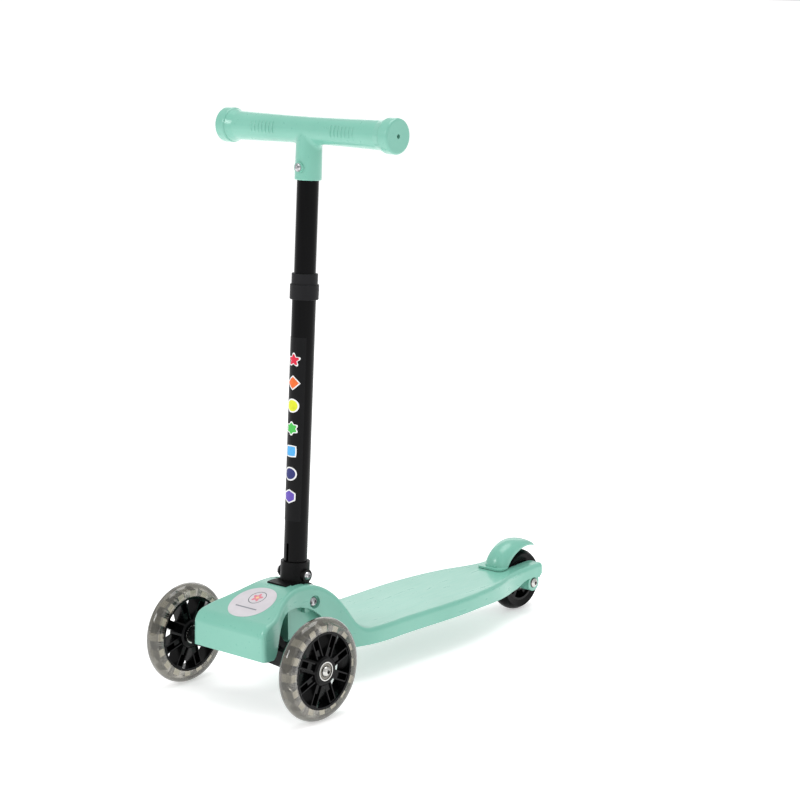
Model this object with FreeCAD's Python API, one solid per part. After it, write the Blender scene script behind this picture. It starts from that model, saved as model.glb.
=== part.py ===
import FreeCAD, Part
import math
import os

# Folding three-wheel kick scooter for a small child.
# Row frame: +X is the direction of travel, +Y is the rider's left, +Z is up, and the origin
# is on the ground, under the middle of the scooter's box. All lengths are in millimetres.

# ------------------------------------------------------------------ driving dimensions
WHEELBASE = 495.0          # front axle to rear axle
FRONT_R = 60.0             # front wheel radius
REAR_R = 40.0              # rear wheel radius
HALF_TRACK = 107.4         # front wheel mid-plane from the centre line
FRONT_X = (WHEELBASE + REAR_R + FRONT_R) / 2 - FRONT_R
REAR_X = FRONT_X - WHEELBASE

RIM_R = 45.0               # where the front tyre sits on its hub
TYRE_HALF_WIDTH = 10.3     # front tyre, widest place
HUB_HALF_WIDTH = 9.5       # front hub rim
BOSS_HALF_WIDTH = 12.0     # front hub centre
REAR_RIM_R = 27.0
REAR_TYRE_HALF_WIDTH = 12.0
BEARING_R = 11.0           # 608 ball bearing: 22 x 8 x 7
BEARING_BORE_R = 4.05
BEARING_W = 7.0
INNER_RACE_R = 6.1
OUTER_RACE_R = 9.4         # where the bearing's outer race begins
SHIELD_DEPTH = 0.6
AXLE_BOLT_R = 4.0
NUT_ACROSS = 13.0          # across the flats of an 8 mm nut
WASHER_R = 5.9             # washers and sleeves between a bolt and a bearing's inner race
SPOKES = 8
LED_MODULES = 16
MODULE_HALF_WIDTH = 5.4
MODULE_HALF_LENGTH = 4.4
MODULE_TOP_R = 51.2
TALL_MODULE_R = 55.5
MODULE_GAP = 0.12          # the modules sit in their pockets with this much room

DECK_TOP = 63.5
DECK_BOTTOM = 44.0
WALL = 3.0                 # wall thickness of the deck moulding
EDGE_R = 5.0               # rounding of the deck's and the hood's top edge
CHEEK_SLOT = 18.6          # half-width of the slot that the stem block folds in

PIVOT_X = FRONT_X - 73.5   # fold bolt
PIVOT_Z = 108.0
BLOCK_HALF = 18.2          # half-width of the stem block
BLOCK_R = 20.5
PLATE_HALF = 15.0          # half-width of the stem's cover plate
POLE_LEAN = 3.48           # the pole leans back by this angle, degrees
FOLD_BOLT_R = 4.0
FOLD_SEAT_Y = 30.6         # bearing faces of the fold bolt's head and nut
FOLD_RECESS_R = 7.8        # round recess over the head and over the nut
CHEEK_BOSS_R = 9.0

KING_X = FRONT_X - 30.0    # steering bolt head
KING_Z = 49.0
KING_TILT = 65.0           # steering axis, degrees above the forward direction
KING_R = 4.0

LOWER_TUBE_R = 14.0
LOWER_TUBE_BORE = 12.9
UPPER_TUBE_R = 12.7
UPPER_TUBE_BORE = 11.5
SLEEVE_R = 17.3
SLEEVE_S0 = 20.0           # distances along the pole, counted from the fold bolt
SLEEVE_S1 = 44.0
SLEEVE_BOLT_S = 28.8
COLLAR_S0 = 352.1
COLLAR_STEP_S = 369.7
COLLAR_S1 = 382.2
NECK_S = 489.0
NECK_SCREW_S = 503.5
BAR_S = 545.7
UPPER_TUBE_S0 = 262.0
UPPER_TUBE_S1 = 520.0
BAR_HALF = 134.2           # handlebar half-length
FLANGE_R = 20.3
FLANGE_LENGTH = 15.0
FLARE_R = 19.0             # the bar widens to this radius beside its end caps
FLARE_LENGTH = 9.0
CAP_HOLE_R = 2.5

V = FreeCAD.Vector
X_AXIS = V(1, 0, 0)
Y_AXIS = V(0, 1, 0)
Z_AXIS = V(0, 0, 1)


# ------------------------------------------------------------------ small helpers
def save(name, shape):
    """Write one sub-part as parts/NAME.step."""
    shape.exportStep(os.path.join("parts", name + ".step"))


def box(x0, x1, y0, y1, z0, z1):
    return Part.makeBox(x1 - x0, y1 - y0, z1 - z0, V(x0, y0, z0))


def rod(base, direction, radius, length):
    return Part.makeCylinder(radius, length, base, direction)


def pipe(base, direction, outer, inner, length):
    return rod(base, direction, outer, length).cut(rod(base, direction, inner, length))


def revolve_y(profile, centre):
    """Solid of revolution about the Y line through centre, from (radius, y) corners."""
    corners = [centre + V(radius, y, 0) for radius, y in profile]
    face = Part.Face(Part.makePolygon(corners + corners[:1]))
    return face.revolve(centre, Y_AXIS, 360)


def fuse(shapes):
    first = shapes[0]
    rest = shapes[1:]
    return first.fuse(rest).removeSplitter() if rest else first


def both_sides(shape):
    return shape, shape.mirror(V(0, 0, 0), Y_AXIS)


def on_pole(shape):
    """Move a shape from the pole's own frame (Z along the pole, 0 at the fold bolt)."""
    moved = shape.copy()
    moved.rotate(V(0, 0, 0), Y_AXIS, -POLE_LEAN)
    moved.translate(V(PIVOT_X, 0, PIVOT_Z))
    return moved


def dome_bolt(base, direction, shank_r, length, head_r, head_h, socket_r=2.3):
    """Button-head bolt: base is under the head, and direction points along the shank."""
    sphere_r = (head_r ** 2 + head_h ** 2) / (2 * head_h)
    ball = Part.makeSphere(sphere_r, base + direction * (sphere_r - head_h))
    head = ball.common(rod(base - direction * head_h, direction, head_r, head_h))
    socket = rod(base - direction * (head_h + 1), direction, socket_r, head_h * 0.6 + 1)
    return head.cut(socket).fuse(rod(base, direction, shank_r, length)).removeSplitter()


def hex_nut(base, direction, across, bore_r, thickness):
    """Hexagon nut: base is on its bearing face, and direction points away from that face."""
    corners = []
    for k in range(7):
        angle = math.radians(60 * k + 30)
        corners.append(V(math.cos(angle), math.sin(angle), 0) * (across / math.sqrt(3)))
    prism = Part.Face(Part.makePolygon(corners)).extrude(V(0, 0, thickness))
    nut = prism.cut(rod(V(0, 0, 0), Z_AXIS, bore_r, thickness))
    nut.Placement = FreeCAD.Placement(base, FreeCAD.Rotation(Z_AXIS, direction))
    return nut


def ball_bearing(centre):
    """608 bearing as one ring, with its shields set back between the two races."""
    half = BEARING_W / 2
    shield = half - SHIELD_DEPTH
    end = [(BEARING_BORE_R, half), (INNER_RACE_R, half), (INNER_RACE_R, shield),
           (OUTER_RACE_R, shield), (OUTER_RACE_R, half), (BEARING_R, half)]
    other_end = [(radius, -y) for radius, y in reversed(end)]
    return revolve_y(end + other_end, centre)


def ring_of(count, shape, centre, phase=0.0):
    """Copies of shape turned about the Y line through centre."""
    copies = []
    for k in range(count):
        turned = shape.copy()
        turned.rotate(centre, Y_AXIS, phase + 360.0 * k / count)
        copies.append(turned)
    return copies


# ------------------------------------------------------------------ deck moulding
# Outline in plan: distance behind the front axle, half-width low down, half-width at the top.
DECK_STATIONS = [(-60, 60, 55), (-30, 60, 54.5), (-8, 57.5, 51), (12, 48, 40.5),
                 (36, 40.5, 31.5), (75, 39.5, 31), (105, 43, 38), (132, 53, 52),
                 (155, 58.6, 58.6), (200, 59.6, 59.6), (260, 60.8, 60.8), (304, 61.6, 61.6),
                 (343, 59.8, 59.8), (377, 55.5, 55.5), (411, 48, 48), (440, 38.6, 38.6),
                 (464, 34.4, 34.4), (490, 33.6, 33.6), (530, 33.4, 33.4)]
PLAN_LOW_Z = 20.0
PLAN_HIGH_Z = 150.0
TAIL_BACK = 509.0          # end of the tail, behind the front axle
TAIL_TOP_Z = 64.5
HOOD_FRONT = 36.0          # front of the hood, ahead of the front axle
SLOT_FRONT = 43.5          # front of the stem's slot, behind the front axle
SLOT_BACK = 152.0
SLOT_FLOOR_Z = 70.0
BOLT_SWING_HALF = 24.6     # the slot is this wide where the sleeve's bolt swings through
BOLT_SWING_R = 38.5
LINER = 2.8                # wall of the slot
TOWER_BOTTOM_Z = 41.0
TOWER_FRONT = 58.0
TOWER_BACK = 124.0
MAIN_RIB_Y = 15.0
MAIN_RIB_Z = 36.0
WHEEL_SLOT_HALF = 13.5
FORK_FRONT = REAR_X + 62.0 # front end of the rear wheel's walls
AXLE_MOUNT_R = 10.8
AXLE_SEAT_Y = 31.0         # bearing faces of the rear axle bolt's head and nut
RIB_BAYS = 9
RIB_HALF = 0.8             # half the thickness of a light rib
SCREW_BOSS_R = 3.0
SCREW_BOSS_OFFSET = 3.6    # either side of a main rib
SCREW_HOLE_R = 1.2

# Side view of the moulding: distance behind the front axle, height.
CROWN_LINE = [(10, 119.2), (40, 128.2), (60, 129.4), (84, 124.5), (106, 110), (122, 88),
              (134, 70)]
SHOULDER = (-22, 107.5)
HEEL = (150, DECK_TOP)
DECK_END = (425, DECK_TOP)
TAIL_LINE = [(458, 63.4), (490, 64.5)]
TAIL_UNDERSIDE = [(504, 46), (488, 49), (472, 46.5), (455, 41), (430, 40), (395, 42),
                  (350, DECK_BOTTOM)]
TAIL_CORNER_Z = 51.0
ARCH_LINE = [(122, DECK_BOTTOM), (104, 60), (88, 83), (68, 100), (44, 107.5), (18, 106.5),
             (-1, 97), (-9, 84), (-14, 72), (-20, 65)]
LIP_Z = 65.0               # bottom of the hood's front wall
BROW_Z = 92.0              # where the hood's front starts to curve back
FENDER_PIN_X = REAR_X + 49.0
FENDER_PIN_Z = 59.0


def plan_wire(z, column, inset):
    points = [V(FRONT_X - row[0], row[column] - inset, z) for row in DECK_STATIONS]
    curve = Part.BSplineCurve()
    curve.interpolate(points)
    left = curve.toShape()
    right = left.mirror(V(0, 0, 0), Y_AXIS)
    ends = [Part.makeLine(p, V(p.x, -p.y, z)) for p in (points[0], points[-1])]
    return Part.Wire([left, ends[1], right, ends[0]])


def plan_solid(inset=0.0):
    """The moulding's outline in plan, as a block from below the deck to above the hood."""
    low = plan_wire(PLAN_LOW_Z, 1, inset)
    high = plan_wire(PLAN_HIGH_Z, 2, inset)
    return Part.makeLoft([low, high], True, True)


def side_point(place, lift=0.0):
    """Point of the side view, from (distance behind the front axle, height)."""
    return V(FRONT_X - place[0], 0, place[1] - lift)


def top_line(lift):
    """Top line of the side view, front to rear, moved inwards by lift."""
    front = FRONT_X + HOOD_FRONT - lift
    shoulder, heel, deck_end = [side_point(place, lift) for place in (SHOULDER, HEEL, DECK_END)]
    tail_end = V(FRONT_X - TAIL_BACK + lift, 0, TAIL_TOP_Z - lift)
    nose = Part.Arc(V(front, 0, BROW_Z), V(front - 3.5, 0, 101 - lift * 0.6), shoulder).toShape()
    crown = Part.BSplineCurve()
    crown.interpolate([shoulder] + [side_point(place, lift) for place in CROWN_LINE] + [heel],
                      InitialTangent=V(-1, 0, 0.28), FinalTangent=V(-1, 0, 0))
    tail = Part.BSplineCurve()
    tail.interpolate([deck_end] + [side_point(place, lift) for place in TAIL_LINE] + [tail_end],
                     InitialTangent=V(-1, 0, 0), FinalTangent=V(-1, 0, -0.08))
    return [nose, crown.toShape(), Part.makeLine(heel, deck_end), tail.toShape()]


def across(edges):
    """A side view, closed from the given edges, drawn right across the scooter."""
    face = Part.Face(Part.Wire(Part.__sortEdges__(edges)))
    face.translate(V(0, -80, 0))
    return face.extrude(V(0, 160, 0))


def profile_solid():
    """The moulding's side view, with the wheel arch cut from below."""
    back = FRONT_X - TAIL_BACK
    front = FRONT_X + HOOD_FRONT
    arch_points = [side_point(place) for place in ARCH_LINE]
    tail = [V(back, 0, TAIL_TOP_Z), V(back, 0, TAIL_CORNER_Z)]
    tail += [side_point(place) for place in TAIL_UNDERSIDE] + arch_points[:1]
    arch = Part.BSplineCurve()
    arch.interpolate(arch_points)
    lip = [arch_points[-1], V(front, 0, LIP_Z), V(front, 0, BROW_Z)]
    edges = top_line(0.0) + list(Part.makePolygon(tail).Edges)
    return across(edges + [arch.toShape()] + list(Part.makePolygon(lip).Edges))


def under_top(lift, floor_z):
    """Everything below the top line moved inwards by lift, down to floor_z."""
    back = FRONT_X - TAIL_BACK + lift
    front = FRONT_X + HOOD_FRONT - lift
    corners = [V(back, 0, TAIL_TOP_Z - lift), V(back, 0, floor_z), V(front, 0, floor_z),
               V(front, 0, BROW_Z)]
    return across(top_line(lift) + list(Part.makePolygon(corners).Edges))


def top_corner_edges(shape):
    """The two long edges where the side walls meet the hood, the deck and the front."""
    chosen = []
    for edge in shape.Edges:
        span = edge.BoundBox
        if span.YMin * span.YMax <= 0:
            continue
        upright_at_front = span.XMin > FRONT_X + HOOD_FRONT - 1 and span.ZMax > 91
        nose = span.XMin > FRONT_X + 20 and span.ZMin > 91
        hood = span.ZMax > 115
        deck = span.XMax < FRONT_X - 140 and span.ZMin > 60 and span.XLength > 100
        if upright_at_front or nose or hood or deck:
            chosen.append(edge)
    return chosen


def stem_slot():
    """The space that the stem block and its bolt swing through."""
    drum_front = PIVOT_X + BLOCK_R + 1.5
    slot = box(FRONT_X - SLOT_BACK, drum_front, -CHEEK_SLOT, CHEEK_SLOT, SLOT_FLOOR_Z, 150)
    plate_half = PLATE_HALF + 0.5
    slot = slot.fuse(box(drum_front, FRONT_X - SLOT_FRONT, -plate_half, plate_half,
                         SLOT_FLOOR_Z, 150))
    centre = V(PIVOT_X, -BOLT_SWING_HALF, PIVOT_Z)
    swing = pipe(centre, Y_AXIS, BOLT_SWING_R, 19.5, 2 * BOLT_SWING_HALF)
    return slot.fuse(swing.common(box(PIVOT_X - 60, PIVOT_X + 8, -40, 40, PIVOT_Z - 9, 150)))


def tower():
    """Walls round the stem's slot, standing down inside the moulding as a box."""
    back = FRONT_X - SLOT_BACK - LINER
    half = CHEEK_SLOT + LINER
    body = box(back, FRONT_X - SLOT_FRONT + LINER, -half, half, SLOT_FLOOR_Z - LINER, 150)
    wide = BOLT_SWING_HALF + LINER
    drum = rod(V(PIVOT_X, -wide, PIVOT_Z), Y_AXIS, BOLT_SWING_R + LINER, 2 * wide)
    body = body.fuse(drum.common(box(PIVOT_X - 60, PIVOT_X + 10.8, -40, 40,
                                     PIVOT_Z - 9 - LINER, 150)))
    foot = box(FRONT_X - TOWER_BACK, FRONT_X - TOWER_FRONT, -half, half,
               TOWER_BOTTOM_Z, SLOT_FLOOR_Z)
    cell_length = (TOWER_BACK - TOWER_FRONT - 3 * LINER) / 2
    for k in range(2):
        start = FRONT_X - TOWER_BACK + LINER + k * (cell_length + LINER)
        foot = foot.cut(box(start, start + cell_length, -CHEEK_SLOT, CHEEK_SLOT,
                            TOWER_BOTTOM_Z - 1, SLOT_FLOOR_Z - LINER))
    return body.fuse(foot)


def king_direction():
    angle = math.radians(KING_TILT)
    return V(math.cos(angle), 0, math.sin(angle))


KING_BASE = V(KING_X, 0, KING_Z)
KING_DIR = king_direction()
TRUCK_BOSS_R = 15.0
TRUCK_BOSS_LENGTH = 37.0   # distances along the steering axis, from the bolt's washer
BUSH_LENGTH = 8.0
KING_NUT_S = 57.0
KING_NUT_H = 6.5
KING_BOLT_LENGTH = 66.0
RUN = 0.05                 # radial clearance of everything that turns on a bolt


def cheek_bosses():
    """Bosses that carry the fold bolt from the slot's wall to the outer skin."""
    return rod(V(PIVOT_X, -40, PIVOT_Z), Y_AXIS, CHEEK_BOSS_R, 80)


def wheel_fork():
    """Inner walls of the tail and the bosses that hold the rear axle."""
    outer_half = WHEEL_SLOT_HALF + LINER
    walls = box(FRONT_X - TAIL_BACK, FORK_FRONT, -outer_half, outer_half, DECK_BOTTOM - 1, 75)
    webs = box(REAR_X - AXLE_MOUNT_R, REAR_X + AXLE_MOUNT_R, -27, 27, REAR_R, 60)
    return walls, axle_mounts().fuse(webs)


def axle_mounts():
    return rod(V(REAR_X, -AXLE_SEAT_Y, REAR_R), Y_AXIS, AXLE_MOUNT_R, 2 * AXLE_SEAT_Y)


RIB_START = FRONT_X - TOWER_BACK
RIB_PITCH = (RIB_START - FORK_FRONT) / RIB_BAYS


def screw_places(behind):
    """Places of the main ribs' screw bosses, counted from the rear."""
    return [(FORK_FRONT + RIB_PITCH * (bay + 0.35) + behind, side * MAIN_RIB_Y + offset)
            for bay in range(RIB_BAYS) for side in (-1, 1)
            for offset in (-SCREW_BOSS_OFFSET, SCREW_BOSS_OFFSET)]


def deck_ribs():
    """Ribs and screw bosses of the underside, still to be trimmed to the shell."""
    pieces = []
    for side in (-1, 1):
        y = side * MAIN_RIB_Y
        pieces.append(box(FORK_FRONT, RIB_START, y - 1.6, y + 1.6, MAIN_RIB_Z, 75))
        for row in (33.0, 47.0):
            pieces.append(box(FORK_FRONT + 30, RIB_START + 8, side * row - RIB_HALF,
                              side * row + RIB_HALF, 49, 75))
    for bay in range(RIB_BAYS):
        x = FORK_FRONT + RIB_PITCH * (bay + 0.35)
        pieces.append(box(x - RIB_HALF, x + RIB_HALF, -70, 70, 47 if bay % 2 else 44.5, 75))
    for x, y in screw_places(14.0):
        pieces.append(rod(V(x, y, MAIN_RIB_Z - 0.5), Z_AXIS, SCREW_BOSS_R, 40))
    for bay in (2, 5, 7):
        x = FORK_FRONT + RIB_PITCH * (bay + 0.8)
        for y in (-41.0, 0.0, 41.0):
            pieces.append(rod(V(x, y, 42), Z_AXIS, SCREW_BOSS_R, 30))
    for bay in range(0, 8, 2):
        pieces += crossed_braces(FORK_FRONT + RIB_PITCH * (bay + 1.35))
    return pieces


def crossed_braces(x):
    """Two braces that cross between the main ribs in the bay that starts at x."""
    reach = 26.0
    braces = []
    for side in (-1, 1):
        corner = V(x, -reach / 2 * side, 46)
        brace = Part.makeBox(math.hypot(RIB_PITCH, reach), 2 * RIB_HALF, 30, corner)
        brace.rotate(corner, Z_AXIS, math.degrees(math.atan2(reach, RIB_PITCH)) * side)
        braces.append(brace)
    return braces


def boss_holes():
    """Pilot holes up the screw bosses of the main ribs."""
    return [rod(V(x, y, MAIN_RIB_Z - 2), Z_AXIS, SCREW_HOLE_R, 16) for x, y in screw_places(14.0)]


def make_deck():
    plan = plan_solid()
    outer = plan.common(profile_solid())
    outer = outer.makeFillet(EDGE_R, top_corner_edges(outer))
    hollow = plan_solid(WALL).common(under_top(WALL, 20.0))
    shell = outer.cut(hollow)
    room = hollow.common(under_top(WALL, MAIN_RIB_Z - 2))
    inside = [piece.common(room) for piece in deck_ribs() + list(wheel_fork())]
    lip_ribs = [box(FRONT_X + 20, FRONT_X + 34, y - 1, y + 1, 66, 96) for y in (-20, 20)]
    king_boss = rod(KING_BASE + KING_DIR * (TRUCK_BOSS_LENGTH + BUSH_LENGTH), KING_DIR, 12.5, 60)
    envelope = plan.common(under_top(1.0, 20.0))
    inside += [piece.common(envelope) for piece in [tower(), cheek_bosses(), king_boss] + lip_ribs]
    deck = shell.fuse(inside + [axle_mounts()])
    king_hole = rod(KING_BASE, KING_DIR, KING_R, KING_BOLT_LENGTH)
    slot_top = box(REAR_X + 30, FENDER_PIN_X + 5.8, -WHEEL_SLOT_HALF, WHEEL_SLOT_HALF, 52, 90)
    wheel_slot = box(REAR_X - 80, REAR_X + 43.5, -WHEEL_SLOT_HALF, WHEEL_SLOT_HALF, 20, 90)
    cuts = [stem_slot(), king_hole, king_nut(), slot_top, wheel_slot,
            rod(V(REAR_X, -40, REAR_R), Y_AXIS, AXLE_BOLT_R, 80),
            rod(V(PIVOT_X, -45, PIVOT_Z), Y_AXIS, FOLD_BOLT_R, 90),
            rod(V(PIVOT_X, FOLD_SEAT_Y, PIVOT_Z), Y_AXIS, FOLD_RECESS_R, 20),
            rod(V(PIVOT_X, -FOLD_SEAT_Y - 20, PIVOT_Z), Y_AXIS, FOLD_RECESS_R, 20),
            rod(V(FENDER_PIN_X, -16.5, FENDER_PIN_Z), Y_AXIS, 2.0, 33)]
    deck = deck.cut(cuts + boss_holes())
    return max(deck.Solids, key=lambda solid: solid.Volume)


def king_nut():
    return hex_nut(KING_BASE + KING_DIR * KING_NUT_S, KING_DIR, NUT_ACROSS, KING_R, KING_NUT_H)


# ------------------------------------------------------------------ wheels
def tyre(centre, rim_r, rim_half, shoulder_r, half_width, outer_r):
    """Tyre with flat side walls and a round crown."""
    corners = [(shoulder_r, -half_width), (rim_r, -rim_half), (rim_r, rim_half),
               (shoulder_r, half_width)]
    points = [centre + V(radius, y, 0) for radius, y in corners]
    crown = Part.Arc(points[3], centre + V(outer_r, 0, 0), points[0]).toShape()
    face = Part.Face(Part.Wire(list(Part.makePolygon(points).Edges) + [crown]))
    return face.revolve(centre, Y_AXIS, 360)


HUB_BORE_R = 7.0
HUB_CHAMFER = 2.0
FRONT_BOSS_R = 17.0
REAR_BOSS_R = 14.5
SHOULDER_R = 49.0          # where the front tyre's side wall ends
REAR_SHOULDER_R = 35.0
REAR_RIM_HALF = 10.5
SPOKE_RIB_OFFSET = 4.4     # middle of a spoke's two ribs
SPOKE_RIB_HALF = 0.8
SPOKE_HALF_WIDTH = 8.6


def hub_centre(centre, boss_half, boss_r):
    """Boss of a hub, with a seat for a bearing in each end."""
    seat = boss_half - BEARING_W
    end = [(boss_r, boss_half - HUB_CHAMFER), (boss_r - HUB_CHAMFER, boss_half),
           (BEARING_R, boss_half), (BEARING_R, seat), (HUB_BORE_R, seat)]
    other_end = [(radius, -y) for radius, y in reversed(end)]
    return revolve_y(end + other_end, centre)


def front_spoke(centre):
    """Hairpin spoke pointing forward: two ribs joined at the rim, and a panel between them."""
    x0 = centre.x + FRONT_BOSS_R - 3
    x1 = centre.x + RIM_R - 2

    def bar(start, end, half_width, low, high):
        return box(start, end, centre.y - half_width, centre.y + half_width,
                   centre.z + low, centre.z + high)

    ribs = [bar(x0, x1, SPOKE_HALF_WIDTH, offset - SPOKE_RIB_HALF, offset + SPOKE_RIB_HALF)
            for offset in (-SPOKE_RIB_OFFSET, SPOKE_RIB_OFFSET)]
    panel = bar(x0, x1, 2.0, -SPOKE_RIB_OFFSET, SPOKE_RIB_OFFSET)
    root = bar(x0, x0 + 13, 6.8, -3.6, 3.6)
    tip = bar(x1 - 2.6, x1, SPOKE_HALF_WIDTH, -SPOKE_RIB_OFFSET, SPOKE_RIB_OFFSET)
    return fuse(ribs + [panel, root, tip])


def front_hub(centre, phase):
    rim = [(RIM_R - 2.8, -HUB_HALF_WIDTH), (RIM_R, -HUB_HALF_WIDTH), (RIM_R, HUB_HALF_WIDTH),
           (RIM_R - 2.8, HUB_HALF_WIDTH)]
    parts = [hub_centre(centre, BOSS_HALF_WIDTH, FRONT_BOSS_R), revolve_y(rim, centre)]
    return fuse(parts + ring_of(SPOKES, front_spoke(centre), centre, phase))


def led_modules(centre, phase, room):
    """Light modules on the hub's rim, grown by room; two opposite ones are taller."""
    wide = MODULE_HALF_WIDTH + room
    half_length = MODULE_HALF_LENGTH + room
    small, tall = [box(centre.x + RIM_R - 3, centre.x + top + room, centre.y - wide,
                       centre.y + wide, centre.z - half_length, centre.z + half_length)
                   for top in (MODULE_TOP_R, TALL_MODULE_R)]
    rim = rod(centre - Y_AXIS * 20, Y_AXIS, RIM_R, 40)
    modules = ring_of(LED_MODULES, small, centre, phase)
    half = LED_MODULES // 2
    for k, module in enumerate(ring_of(2, tall, centre, phase)):
        modules[k * half] = module
    return [module.cut(rim) for module in modules]


def make_front_wheel(side, phase):
    centre = V(FRONT_X, side * HALF_TRACK, FRONT_R)
    name = "front_left_" if side > 0 else "front_right_"
    modules = led_modules(centre, phase, 0.0)
    rubber = tyre(centre, RIM_R, HUB_HALF_WIDTH, SHOULDER_R, TYRE_HALF_WIDTH, FRONT_R)
    rubber = rubber.cut(led_modules(centre, phase, MODULE_GAP))
    offset = Y_AXIS * (BOSS_HALF_WIDTH - BEARING_W / 2)
    save(name + "hub", front_hub(centre, phase))
    save(name + "tyre", rubber)
    save(name + "light_modules", Part.makeCompound(modules))
    bearings = [ball_bearing(centre + offset), ball_bearing(centre - offset)]
    save(name + "bearings", Part.makeCompound(bearings))


def make_rear_wheel():
    centre = V(REAR_X, 0, REAR_R)
    half = REAR_TYRE_HALF_WIDTH
    rim = [(REAR_RIM_R - 3, -REAR_RIM_HALF), (REAR_RIM_R, -REAR_RIM_HALF),
           (REAR_RIM_R, REAR_RIM_HALF), (REAR_RIM_R - 3, REAR_RIM_HALF)]
    spoke = box(centre.x + 13, centre.x + 25, -7.5, 7.5, centre.z - 2.6, centre.z + 2.6)
    parts = [hub_centre(centre, half, REAR_BOSS_R), revolve_y(rim, centre)]
    save("rear_hub", fuse(parts + ring_of(6, spoke, centre)))
    rubber = tyre(centre, REAR_RIM_R, REAR_RIM_HALF, REAR_SHOULDER_R, half, REAR_R)
    save("rear_tyre", rubber)
    offset = Y_AXIS * (half - BEARING_W / 2)
    bearings = [ball_bearing(centre + offset), ball_bearing(centre - offset)]
    save("rear_bearings", Part.makeCompound(bearings))


# ------------------------------------------------------------------ front truck
ARM_ROOT_Y = 20.0
ARM_END_Y = 88.0
ARM_FACE_Y = 94.4
TRUCK_WALL = 2.8
AXLE_GAP = 0.1             # end play between a wheel and what is clamped beside it


def arm_section(y, inset, floor_z):
    """Cross-section of the left arm at y, part-way between its root and its end."""
    t = (y - ARM_ROOT_Y) / (ARM_END_Y - ARM_ROOT_Y)
    back, front, low, high = [root + t * (end - root) for root, end in zip(ARM_ROOT, ARM_END)]
    x0 = back + inset
    x1 = front - inset
    z0 = floor_z if floor_z else low
    z1 = high - inset
    return Part.makePolygon([V(x0, y, z0), V(x1, y, z0), V(x1, y, z1), V(x0, y, z1),
                             V(x0, y, z0)])


ARM_ROOT = (FRONT_X - 46.0, FRONT_X - 10.0, 46.5, 66.0)     # back, front, bottom, top
ARM_END = (FRONT_X - 9.5, FRONT_X + 9.5, 51.0, 69.0)


def arm_braces():
    """Crossed ribs that stiffen the left arm's underside."""
    braces = []
    cells = 2
    pitch = (ARM_END_Y - ARM_ROOT_Y) / cells
    for k in range(cells):
        y0 = ARM_ROOT_Y + k * pitch
        first = arm_section(y0, 0, 0).BoundBox
        last = arm_section(y0 + pitch, 0, 0).BoundBox
        for start, end in ((first.XMin, last.XMax), (first.XMax, last.XMin)):
            length = math.hypot(end - start, pitch)
            brace = Part.makeBox(length, 1.6, 30, V(start, y0, 40))
            brace.rotate(V(start, y0, 40), Z_AXIS, math.degrees(math.atan2(pitch, end - start)))
            braces.append(brace)
        braces.append(box(FRONT_X - 50, FRONT_X + 12, y0 + pitch / 2 - 0.8,
                          y0 + pitch / 2 + 0.8, 40, 70))
    return braces


def truck_arm():
    """Left arm: an open-bottomed channel with braces and an axle boss at its end."""
    outer = Part.makeLoft([arm_section(ARM_ROOT_Y - 6, 0, 0), arm_section(ARM_END_Y, 0, 0)],
                          True, True)
    inner = Part.makeLoft([arm_section(ARM_ROOT_Y - 6, TRUCK_WALL, 30),
                           arm_section(ARM_END_Y - TRUCK_WALL, TRUCK_WALL, 30)], True, True)
    ribs = [brace.common(outer) for brace in arm_braces()]
    boss = rod(V(FRONT_X, ARM_END_Y - 20, FRONT_R), Y_AXIS, 9.5, ARM_FACE_Y - ARM_END_Y + 20)
    return outer.cut(inner).fuse(ribs + [boss])


def axle_bolt():
    """Left wheel bolt, from outside the wheel into the arm."""
    head_y = HALF_TRACK + BOSS_HALF_WIDTH + AXLE_GAP
    return dome_bolt(V(FRONT_X, head_y, FRONT_R), -Y_AXIS, AXLE_BOLT_R, head_y - 70, WASHER_R, 4.0)


def axle_nut():
    return hex_nut(V(FRONT_X, 80.0, FRONT_R), -Y_AXIS, NUT_ACROSS, AXLE_BOLT_R, 6.5)


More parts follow.
